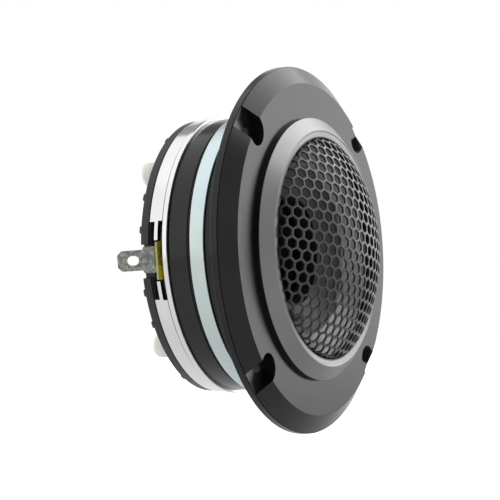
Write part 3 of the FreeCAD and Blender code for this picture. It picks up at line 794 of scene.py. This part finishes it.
def ring_piece():
    """The bright ring that carries the diaphragm, slotted beside each terminal."""
    outer_r, front_y, back_y = span("diaphragm_ring")
    outline = [
        (41.35, front_y, 0.0),
        (outer_r - 0.5, front_y, 0.0),
        (outer_r - 0.5, front_y + 0.26, 0.0),
        (outer_r, front_y + 0.26, 0.08),
        (outer_r, back_y, 0.3),
        (31.0, back_y, 0.2),
        (31.0, 26.9, 0.0),
        (41.35, 26.9, 0.0),
    ]
    ring = made("diaphragm_ring_bright", revolved(outline))
    tools = []
    for bearing in terminal_bearings():
        slots = (
            wedge("front", SLOT_IN_R, 45.0, front_y - 1, POCKET_END_Y, POCKET_ARC),
            wedge("rear", SLOT_IN_R, 45.0, REAR_POCKET_Y, back_y + 1, REAR_POCKET_ARC),
            wedge("between", SLOT_IN_R, 45.0, 24.6, 27.4, 8.4),
            block("lead_groove", 30.0, 37.6, 27.1, back_y + 1, 1.6),
        )
        tools += [swung(slot, bearing) for slot in slots]
    tools += cover_screw_holes()
    return carved(ring, tools)


def cover_piece():
    """The rear moulding: a stepped skirt, low ribs, a hub with a shallow dish, notches at the terminals."""
    outer_r, front_y, back_y = span("rear_cover")
    skirt_y = 31.7
    outline = [
        (outer_r - 0.7, front_y, 0.0),
        (outer_r - 0.7, front_y + 0.4, 0.0),
        (outer_r, front_y + 0.4, 0.1),
        (outer_r, skirt_y, 0.5),
        (31.0, skirt_y, 0.8),
        (28.2, back_y, 1.2),
        (22.0, back_y, 0.3),
        (21.4, back_y - 0.5, 0.3),
        (9.0, back_y - 0.5, 0.3),
        (8.4, back_y, 0.3),
        (0.0, back_y, 0.0),
        (0.0, 35.4, 0.0),
        (27.4, 35.4, 0.5),
        (29.4, 32.4, 0.5),
        (29.4, front_y, 0.0),
        (32.0, front_y, 0.0),
        (32.0, front_y + 0.5, 0.0),
        (35.0, front_y + 0.5, 0.0),
        (35.0, front_y, 0.0),
    ]
    cover = made("rear_cover_moulding", revolved(outline))
    ribs = []
    for side in terminal_bearings():
        for bearing in RIB_BEARINGS:
            for sign in (-1, 1):
                rib = block("rib", 30.2, outer_r - 0.15, skirt_y - 0.8, skirt_y + 0.7, 2.4, 0.55, 4)
                ribs.append(swung(rib, side + sign * bearing))
    carved(cover, ribs, "UNION")
    tools = []
    for bearing in terminal_bearings():
        notch = wedge("notch", NOTCH_IN_R, outer_r + 2, front_y - 1, NOTCH_END_Y, NOTCH_ARC)
        tools.append(swung(notch, bearing))
    tools += cover_screw_holes()
    return carved(cover, tools)


def caps_piece():
    """Four round-ended caps over the cover's screws."""
    _, front_y, back_y = span("screw_caps")
    outline = [
        (0.0, back_y, 0.0),
        (CAP_R, back_y, 2.0),
        (CAP_R, front_y + 1.9, 0.12),
        (CAP_R - 0.08, front_y + 1.8, 0.12),
        (CAP_R - 0.08, front_y, 0.2),
        (2.78, front_y, 0.1),
        (2.78, front_y + 3.2, 0.0),
        (0.0, front_y + 3.2, 0.0),
    ]
    caps = []
    for bearing in MOUNT_BEARINGS:
        bm = revolved(outline, 64, 8)
        bmesh.ops.translate(bm, vec=(-COVER_SCREW_R, 0, 0), verts=bm.verts)
        caps.append(swung(made("cap", bm), bearing + MOTOR_TURN))
    return joined("screw_caps_nylon", caps)


def board_piece(bearing, side):
    """A terminal board with rounded corners and a hole for its rivet."""
    _, y0, y1 = span("terminal_board_" + side)
    board = block("terminal_board_laminate_" + side, BOARD_IN_R, BOARD_OUT_R, y0, y1, BOARD_W, 0.14, 2)
    carved(board, [rod("eye", 1.2, y0 - 1, y1 + 1, RIVET_R)])
    return swung(board, bearing)


def tab_piece(bearing, side):
    """A blade folded up from its foot, with an oblong hole, chamfered corners and softened edges."""
    root, half = 4.0, 3.15
    edge = [(-5.4, root), (3.85, root), (4.25, half), (10.55, half), (11.85, half - 1.3)]
    outline = [Vector(p) for p in edge + [(a, -b) for a, b in reversed(edge)]]
    holes = [oblong(7.1, 0.38, 1.43), round_hole(TAB_BEND_R - RIVET_R, TAB_OFFSET, 1.2)]
    foot_y = span("terminal_board_" + side)[2]
    stations = [-0.9 + 0.18 * k for k in range(11)]
    bm = bmesh.new()
    flat_plate(bm, outline, holes, stations, TAB_T)
    for v in bm.verts:
        v.co = folded(v.co.x, v.co.y + TAB_OFFSET, v.co.z, foot_y)
    tab = made("terminal_tab_tinned_" + side, bm)
    step = tab.modifiers.new("bevel", "BEVEL")
    step.width = 0.09 * MM
    step.segments = 2
    step.limit_method = "ANGLE"
    step.angle_limit = math.radians(50.0)
    return swung(applied(tab), bearing)


def oblong(centre, reach, radius, steps=10):
    """A closed loop: a slot along the blade with round ends."""
    loop = []
    for end, start in ((reach, -90.0), (-reach, 90.0)):
        for k in range(steps + 1):
            a = math.radians(start + 180.0 * k / steps)
            loop.append(Vector((centre + end + radius * math.cos(a), radius * math.sin(a))))
    return loop


def round_hole(back, offset, radius, sides=24):
    """A closed loop: the rivet's hole in the foot, this far back from the bend."""
    turn = [2 * math.pi * k / sides for k in range(sides)]
    return [Vector((radius * math.cos(a) - back, radius * math.sin(a) - offset)) for a in turn]


def flat_plate(bm, outline, holes, stations, thick):
    """Fills a flat outline with holes, cut across at the stations, and gives it thickness."""
    points, edges, faces = list(outline), [], []
    edges += [(k, (k + 1) % len(outline)) for k in range(len(outline))]
    for hole in holes:
        first = len(points)
        points += hole
        faces.append(list(range(first, first + len(hole))))
    widest = max(p.y for p in outline)
    for s in stations:
        edges.append((len(points), len(points) + 1))
        points += [Vector((s, -widest)), Vector((s, widest))]
    verts, _, tris, _, _, origin = geometry.delaunay_2d_cdt(points, edges, faces, 1, 1e-5)
    keep = [t for t, o in zip(tris, origin) if not o]
    extruded(bm, [(v.x, v.y) for v in verts], keep, thick)


def extruded(bm, verts, tris, thick):
    """A closed plate from a flat triangulation."""
    used = sorted({i for t in tris for i in t})
    low = {i: bm.verts.new((verts[i][0], verts[i][1], 0.0)) for i in used}
    high = {i: bm.verts.new((verts[i][0], verts[i][1], thick)) for i in used}
    count = {}
    for t in tris:
        bm.faces.new([low[i] for i in reversed(t)])
        bm.faces.new([high[i] for i in t])
        for a, b in zip(t, t[1:] + t[:1]):
            count[(a, b)] = count.get((a, b), 0) + 1
    for a, b in count:
        if (b, a) not in count:
            bm.faces.new([low[a], low[b], high[b], high[a]])


def folded(along, across, depth, foot_y):
    """Bends the flat blade up from the foot: the foot lies on the board, the blade leans outward."""
    bend = math.radians(90.0 - TAB_LEAN)
    zone = 0.9
    inner = 2 * zone / bend
    start_x = -(TAB_BEND_R - zone)
    if along <= -zone:
        return Vector((-(TAB_BEND_R + along), foot_y + depth, across))
    turn = min((along + zone) / inner, bend)
    past = max(along - zone, 0.0)
    radius = inner - depth
    x = start_x - radius * math.sin(turn) - past * math.cos(bend)
    y = foot_y + inner - radius * math.cos(turn) + past * math.sin(bend)
    return Vector((x, y, across))


def rivets_piece():
    """A rolled rivet at each terminal: domed head behind, curled tail in front."""
    _, front_y, back_y = span("terminal_rivets")
    outline = [
        (0.0, back_y - 0.25, 0.0),
        (0.55, back_y - 0.2, 0.1),
        (1.0, back_y, 0.25),
        (1.9, back_y - 0.35, 0.2),
        (1.9, back_y - 0.6, 0.05),
        (1.15, back_y - 0.6, 0.0),
        (1.15, front_y + 0.45, 0.0),
        (1.65, front_y + 0.4, 0.1),
        (1.5, front_y, 0.15),
        (0.7, front_y, 0.15),
        (0.5, front_y + 0.5, 0.1),
        (0.0, front_y + 0.5, 0.0),
    ]
    made_ones = []
    for bearing in terminal_bearings():
        bm = revolved(outline, 40, 3)
        bmesh.ops.translate(bm, vec=(-RIVET_R, 0, 0), verts=bm.verts)
        made_ones.append(swung(made("rivet", bm), bearing))
    return joined("terminal_rivets_rolled", made_ones)


# ---------------------------------------------------------------- grille


def on_dome(point, depth):
    """Where a point of the flat lattice lies on the dome and its bent edge, depth below the outer face."""
    reach = point.length
    start = math.asin(BEND_FROM_R / DOME_SPHERE_R)
    swing = min(reach / DOME_SPHERE_R, start)
    past = max(reach - start * DOME_SPHERE_R, 0.0) / BEND_R
    inner = DOME_SPHERE_R - BEND_R
    radius = BEND_R - depth
    side = inner * math.sin(swing) + radius * math.sin(swing + past)
    height = inner * math.cos(swing) + radius * math.cos(swing + past)
    x, z = (point.x / reach, point.y / reach) if reach > 1e-9 else (0.0, 0.0)
    return Vector((side * x, apex_y + DOME_SPHERE_R - height, side * z))


def hex_centres():
    """Flat centres of the holes, to a third of a hole past the edge of the field."""
    t = math.radians(HEX_TURN)
    c, s = math.cos(t), math.sin(t)
    reach = HEX_FIELD_REACH + 0.3 * HEX_ACROSS
    found = []
    for row in range(-12, 13):
        for col in range(-14, 15):
            a = HEX_PITCH * (col + 0.5 * (row % 2)) + HEX_SHIFT[0]
            b = HEX_PITCH * math.sqrt(3) / 2 * row + HEX_SHIFT[1]
            centre = Vector((a * c - b * s, a * s + b * c))
            if centre.length < reach:
                found.append(centre)
    return found


def hex_loop(centre):
    """A hexagon with rounded corners, punched square to the dome, as flat lattice points."""
    corner_r = HEX_ACROSS / math.sqrt(3) - HEX_CORNER_R / math.sin(math.radians(60))
    loop = []
    for k in range(6):
        bearing = HEX_TURN + 60 * k + 30
        corner = corner_r * unit(bearing)
        for turn in (-30, -10, 10, 30):
            loop.append(corner + HEX_CORNER_R * unit(bearing + turn))
    swing = centre.length / DOME_SPHERE_R
    outward = centre.normalized() if centre.length > 1e-9 else Vector((1, 0))
    sideways = Vector((-outward.y, outward.x))
    placed = []
    for p in loop:
        u, v = p.dot(outward) / DOME_SPHERE_R, p.dot(sideways) / DOME_SPHERE_R
        along = math.sin(swing) + u * math.cos(swing)
        height = math.cos(swing) - u * math.sin(swing)
        flat = along * outward + v * sideways
        placed.append(flat.normalized() * DOME_SPHERE_R * math.atan2(flat.length, height))
    return placed


def unit(degrees):
    """The flat direction at an angle."""
    return Vector((math.cos(math.radians(degrees)), math.sin(math.radians(degrees))))


def clipped(loop, reach):
    """The part of a convex loop inside a circle about the apex, with points along the arc."""
    inside = [p.length <= reach for p in loop]
    if all(inside):
        return loop
    if not any(inside):
        return []
    kept = []
    for k, p in enumerate(loop):
        q = loop[(k + 1) % len(loop)]
        if inside[k]:
            kept.append(p)
        if inside[k] != inside[(k + 1) % len(loop)]:
            kept.append(crossing(p, q, reach))
    gap = max(range(len(kept)), key=lambda k: (kept[(k + 1) % len(kept)] - kept[k]).length)
    a, b = kept[gap], kept[(gap + 1) % len(kept)]
    arc = [a.lerp(b, t / 6).normalized() * reach for t in range(1, 6)]
    return kept[: gap + 1] + arc + kept[gap + 1 :]


def crossing(p, q, reach):
    """Where the stretch from p to q leaves the circle."""
    low, high = (p, q) if p.length <= reach else (q, p)
    for _ in range(24):
        mid = (low + high) / 2
        low, high = (mid, high) if mid.length <= reach else (low, mid)
    return low


def grown(loop, amount):
    """A convex loop moved outwards."""
    moved = []
    for k, p in enumerate(loop):
        one = (p - loop[k - 1]).normalized()
        two = (loop[(k + 1) % len(loop)] - p).normalized()
        normal = Vector((one.y + two.y, -one.x - two.x)).normalized()
        share = max(0.5, normal.dot(Vector((two.y, -two.x))))
        moved.append(p + normal * amount / share)
    return moved


def tidy_loop(loop):
    """The loop, anticlockwise, without points that nearly coincide."""
    kept = [p for k, p in enumerate(loop) if (p - loop[k - 1]).length > 0.03]
    area = sum(kept[k - 1].x * p.y - p.x * kept[k - 1].y for k, p in enumerate(kept))
    return kept if area > 0 else kept[::-1]


def webbing(bm, rings, edge, depth, flip):
    """Fills one face of the dome between its edge and the rims of the holes."""
    points = [p for p, _ in edge]
    verts = [v for _, v in edge]
    faces = []
    for ring in rings:
        faces.append(list(range(len(points), len(points) + len(ring))))
        points += [p for p, _ in ring]
        verts += [v for _, v in ring]
    edges = [(k, (k + 1) % len(edge)) for k in range(len(edge))]
    out, _, tris, from_vert, _, origin = geometry.delaunay_2d_cdt(points, edges, faces, 0, 1e-6)
    table = [verts[ids[0]] if ids else bm.verts.new(on_dome(p, depth)) for p, ids in zip(out, from_vert)]
    for tri, source in zip(tris, origin):
        corners = [table[i] for i in tri]
        if source or len(set(corners)) < 3:
            continue
        bm.faces.new(corners[::-1] if flip else corners)


def grille_piece():
    """The perforated dome with rounded hole edges, its bent edge and its flat rim."""
    rim_r, _, back_y = span("grille_mesh")
    soft, under = 0.16, 0.08
    steps = [(soft * (1 - math.sin(a)), soft * (1 - math.cos(a))) for a in (0, 0.5, 1.0, math.pi / 2)]
    steps += [(0.0, GRILLE_T - under), (0.3 * under, GRILLE_T - 0.3 * under), (under, GRILLE_T)]
    bm = bmesh.new()
    tops, bottoms = [], []
    for centre in hex_centres():
        loop = clipped(hex_loop(centre), HEX_FIELD_REACH)
        if len(loop) < 5:
            continue
        loop = tidy_loop(loop)
        levels = [[(p, bm.verts.new(on_dome(p, d))) for p in grown(loop, o)] for o, d in steps]
        for one, two in zip(levels, levels[1:]):
            skin(bm, [v for _, v in one], [v for _, v in two])
        tops.append(levels[0])
        bottoms.append(levels[-1])
    count = 240
    turn = [2 * math.pi * k / count for k in range(count)]
    outer_s, inner_s = HEX_FIELD_REACH + 0.27, HEX_FIELD_REACH + 0.2
    top_edge = [Vector((outer_s * math.cos(a), outer_s * math.sin(a))) for a in turn]
    low_edge = [Vector((inner_s * math.cos(a), inner_s * math.sin(a))) for a in turn]
    top_ring = [(p, bm.verts.new(on_dome(p, 0.0))) for p in top_edge]
    low_ring = [(p, bm.verts.new(on_dome(p, GRILLE_T))) for p in low_edge]
    webbing(bm, tops, top_ring, 0.0, False)
    webbing(bm, bottoms, low_ring, GRILLE_T, True)
    front_y = back_y - GRILLE_T
    edge_y = top_ring[0][1].co.y
    profile = [
        (DOME_EDGE_R - 0.02, edge_y + 0.14),
        (DOME_EDGE_R, edge_y + 0.4),
        (DOME_EDGE_R, front_y - 0.12),
        (DOME_EDGE_R + 0.12, front_y),
        (rim_r, front_y),
        (rim_r, back_y),
        (DOME_EDGE_R - GRILLE_T + 0.1, back_y),
        (DOME_EDGE_R - GRILLE_T, back_y - 0.2),
    ]
    last = [v for _, v in top_ring]
    for r, y in profile:
        ring = [bm.verts.new((r * math.cos(a), y, r * math.sin(a))) for a in turn]
        skin(bm, last, ring)
        last = ring
    skin(bm, last, [v for _, v in low_ring])
    bmesh.ops.recalc_face_normals(bm, faces=bm.faces)
    return made("grille_dome", bm)


# ---------------------------------------------------------------- assembly


def finished(obj, node, finish):
    """Gives a new piece its shading and material, parents it to the body and hides the CAD node it stands
    for.
    """
    obj.data.materials.clear()
    obj.data.materials.append(finish)
    obj.data.shade_smooth()
    obj.data.set_sharp_from_angle(angle=math.radians(SMOOTH_BELOW))
    weigh = obj.modifiers.new("weigh", "WEIGHTED_NORMAL")
    weigh.keep_sharp = True
    weigh.weight = 90
    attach(obj, BODY)
    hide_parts(node)
    return obj


def dress(node_obj, finish):
    """Puts a material on a CAD node that stays."""
    for place in node_obj.material_slots:
        place.material = finish
    if not node_obj.material_slots:
        node_obj.data.materials.append(finish)


def build(frame):
    """Every piece, with its material, and materials for the CAD nodes that stay."""
    look = materials()
    slots = {p["node"]: p["material_slot"] for p in frame["record"]["subparts"]}
    round_parts = {
        "front_flange": flange_piece,
        "grille_bezel": bezel_piece,
        "grille_mesh": grille_piece,
        "horn_insert": horn_piece,
        "back_plate": back_plate_piece,
        "ferrite_magnet": magnet_piece,
        "magnet_sleeve": sleeve_piece,
        "top_plate": top_plate_piece,
        "diaphragm_ring": ring_piece,
        "rear_cover": cover_piece,
        "screw_caps": caps_piece,
        "terminal_rivets": rivets_piece,
    }
    for node, make in round_parts.items():
        finish = look["bezel_metal"] if node == "grille_bezel" else look[slots[node]]
        finished(make(), node, finish)
    for side, bearing in zip(("left", "right"), terminal_bearings()):
        board, tab = "terminal_board_" + side, "terminal_tab_" + side
        finished(board_piece(bearing, side), board, look[slots[board]])
        finished(tab_piece(bearing, side), tab, look[slots[tab]])
    for node, obj in frame["nodes"].items():
        dress(obj, look[slots[node]])


# ---------------------------------------------------------------- studio


def studio_world():
    """Studio light, bright behind and right, dim in front and round the camera, seen as plain white."""
    world = bpy.data.worlds.new("studio")
    bpy.context.scene.world = world
    world.use_nodes = True
    tree = world.node_tree
    background = tree.nodes["Background"]

    def ramp(socket, start, end, low, high):
        node = tree.nodes.new("ShaderNodeMapRange")
        node.interpolation_type = "SMOOTHSTEP"
        for name, value in zip(RANGE_SOCKETS, (start, end, low, high)):
            node.inputs[name].default_value = value
        tree.links.new(socket, node.inputs["Value"])
        return node.outputs["Result"]

    def times(one, two):
        node = tree.nodes.new("ShaderNodeMath")
        node.operation = "MULTIPLY"
        tree.links.new(one, node.inputs[0])
        tree.links.new(two, node.inputs[1])
        return node.outputs[0]

    way = tree.nodes.new("ShaderNodeTexCoord").outputs["Generated"]
    parts = tree.nodes.new("ShaderNodeSeparateXYZ")
    tree.links.new(way, parts.inputs[0])
    x, y, z = parts.outputs
    front = ramp(y, -0.05, -0.5, 0.0, 1.0)
    left = ramp(x, 0.75, 0.3, 0.0, 1.0)
    room = ramp(times(front, left), 0.0, 1.0, 1.0, 0.5)
    toward = tree.nodes.new("ShaderNodeVectorMath")
    toward.operation = "DOT_PRODUCT"
    tree.links.new(way, toward.inputs[0])
    toward.inputs[1].default_value = (CAMERA_SIDE.x, CAMERA_SIDE.y, 0.0)
    behind_camera = ramp(toward.outputs["Value"], 0.62, 0.82, 1.0, 0.15)
    high = times(ramp(z, 0.3, 0.6, 0.0, 1.0), ramp(z, 0.735, 0.75, 1.0, 0.0))
    right = times(ramp(x, 0.0, 0.35, 0.0, 1.0), ramp(y, 0.05, 0.3, 0.0, 1.0))
    gap = ramp(times(high, right), 0.0, 1.0, 1.0, 0.3)
    light = times(times(room, behind_camera), gap)
    seen = tree.nodes.new("ShaderNodeMath")
    seen.operation = "MAXIMUM"
    tree.links.new(light, seen.inputs[0])
    tree.links.new(tree.nodes.new("ShaderNodeLightPath").outputs["Is Camera Ray"], seen.inputs[1])
    tree.links.new(seen.outputs[0], background.inputs["Strength"])
    background.inputs["Color"].default_value = (1.0, 1.0, 1.0, 1.0)


def softbox(name, place, target, width, height, radiance):
    """A soft rectangular lamp that the camera doesn't see."""
    data = bpy.data.lights.new(name, "AREA")
    data.shape = "RECTANGLE"
    data.size, data.size_y = width, height
    data.energy = radiance * math.pi * width * height
    lamp = bpy.data.objects.new(name, data)
    lamp.location = place
    lamp.rotation_euler = (Vector(place) - Vector(target)).to_track_quat("Z", "Y").to_euler()
    lamp.visible_camera = False
    bpy.context.scene.collection.objects.link(lamp)


def floor(level):
    """A pale floor that glows a little behind the object and is seen as plain white."""
    bm = bmesh.new()
    bmesh.ops.create_grid(bm, x_segments=24, y_segments=24, size=6.0)
    mesh = bpy.data.meshes.new("floor")
    bm.to_mesh(mesh)
    bm.free()
    obj = bpy.data.objects.new("floor", mesh)
    obj.location = (0, 0, level)
    bpy.context.scene.collection.objects.link(obj)
    m = Nodes("pale_floor", (0.58, 0.58, 0.58), 0.7, Emission_Color=(1.0, 1.0, 1.0, 1.0))
    glow = m.spread(m.axis("Y"), 0.0, 0.22, -0.03, 0.09)
    seen = m.add("ShaderNodeMath", operation="MAXIMUM")
    m.link(glow, seen.inputs[0])
    m.link(m.add("ShaderNodeLightPath").outputs["Is Camera Ray"], seen.inputs[1])
    m.link(seen.outputs[0], m.shader.inputs["Emission Strength"])
    mesh.materials.append(m.material)


def camera():
    """The scene's camera, a long lens to the left of the front."""
    data = bpy.data.cameras.new("camera")
    data.lens = CAMERA_LENS
    data.sensor_width = 36.0
    data.clip_start = 0.01
    obj = bpy.data.objects.new("camera", data)
    side = CAMERA_SIDE.normalized()
    turn = side.to_track_quat("Z", "Y").to_matrix() @ Matrix.Rotation(math.radians(CAMERA_ROLL), 3, "Z")
    obj.matrix_world = Matrix.Translation(CAMERA_TARGET + side * CAMERA_DISTANCE) @ turn.to_4x4()
    bpy.context.scene.collection.objects.link(obj)
    bpy.context.scene.camera = obj


def corners(box):
    """A box's two corners as plain lists."""
    return [list(corner) for corner in box]


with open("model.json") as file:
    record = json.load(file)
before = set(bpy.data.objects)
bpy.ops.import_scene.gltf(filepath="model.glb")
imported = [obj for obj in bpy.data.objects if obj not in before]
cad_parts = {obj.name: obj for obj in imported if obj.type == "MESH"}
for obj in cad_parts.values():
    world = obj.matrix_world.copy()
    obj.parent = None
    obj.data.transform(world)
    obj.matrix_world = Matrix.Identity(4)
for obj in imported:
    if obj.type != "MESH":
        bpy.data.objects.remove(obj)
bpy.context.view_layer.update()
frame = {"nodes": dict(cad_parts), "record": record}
apex_y = span("grille_mesh")[1]
camera()
build(frame)
studio_world()
softbox("overhead", (0.05, 0.3, 1.1), (0.05, 0.3, 0), 1.3, 1.3, 0.05)
softbox("right_card", (1.6, -0.72, 0.3), (0, 0, 0.3), 1.35, 1.35, 1.2)
softbox("key", (0.76, -0.595, 0.87), (0, 0, 0), 1.5, 0.75, 1.6)
softbox("front", (0.12, -1.3, 0.12), (0, 0, 0), 0.5, 0.7, 0.9)
floor(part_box("front_flange")[0].z - FLOOR_DROP)
bpy.context.scene.view_settings.view_transform = "Standard"
